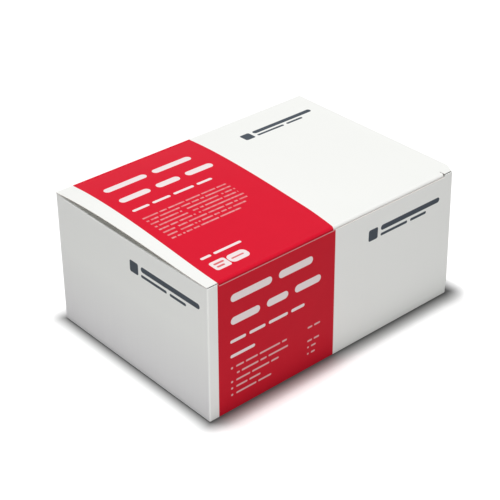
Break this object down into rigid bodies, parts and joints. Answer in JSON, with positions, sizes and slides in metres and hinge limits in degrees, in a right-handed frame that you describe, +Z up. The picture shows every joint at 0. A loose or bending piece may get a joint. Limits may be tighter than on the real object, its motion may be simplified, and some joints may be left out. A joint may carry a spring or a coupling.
{
  "type": "test kit carton",
  "caption": "Tuck-top folding carton of a rapid test kit, printed with plain colour fields, holding a row of sealed foil pouches, a folded leaflet, a buffer bottle and a bag of droppers.",
  "frame": {"origin": "middle of the carton's bottom, on the table", "axes": "+X along the long front panel towards the end with the bottle, +Y from the front panel to the back panel that carries the lid, +Z up"},
  "size_m": [0.19, 0.133, 0.089],
  "materials": {
    "carton_board": "satin",
    "lid_board": "satin",
    "foil": "metallised film, silver",
    "leaflet_paper": "matt",
    "bottle_plastic": "satin",
    "tip_plastic": "satin",
    "cap_plastic": "gloss",
    "bag_film": "clear film over droppers"
  },
  "bodies": {
    "carton": {"carton": "carton_board", "pouch_01": "foil", "pouch_02": "foil", "pouch_03": "foil", "pouch_04": "foil", "pouch_05": "foil", "pouch_06": "foil", "pouch_07": "foil", "pouch_08": "foil", "pouch_09": "foil", "pouch_10": "foil", "pouch_11": "foil", "pouch_12": "foil", "pouch_13": "foil", "pouch_14": "foil", "pouch_15": "foil", "pouch_16": "foil", "pouch_17": "foil", "pouch_18": "foil", "pouch_19": "foil", "pouch_20": "foil", "pouch_21": "foil", "pouch_22": "foil", "pouch_23": "foil", "pouch_24": "foil", "pouch_25": "foil", "leaflet": "leaflet_paper", "buffer_bottle": "bottle_plastic", "dropper_tip": "tip_plastic", "dropper_bag": "bag_film"},
    "lid": {"lid": "lid_board"},
    "cap": {"bottle_cap": "cap_plastic"}
  },
  "joints": [
    {"name": "lid_hinge", "type": "hinge", "parent": "carton", "child": "lid", "pos_m": [0, 0.06628, 0.08628], "axis": [-1, 0, 0], "range_deg": [0, 180]},
    {"name": "cap_turn", "type": "hinge", "parent": "carton", "child": "cap", "pos_m": [0.0727, 0.04505, 0.055], "axis": [0, 0, 1], "range_deg": [0, 540]}
  ]
}
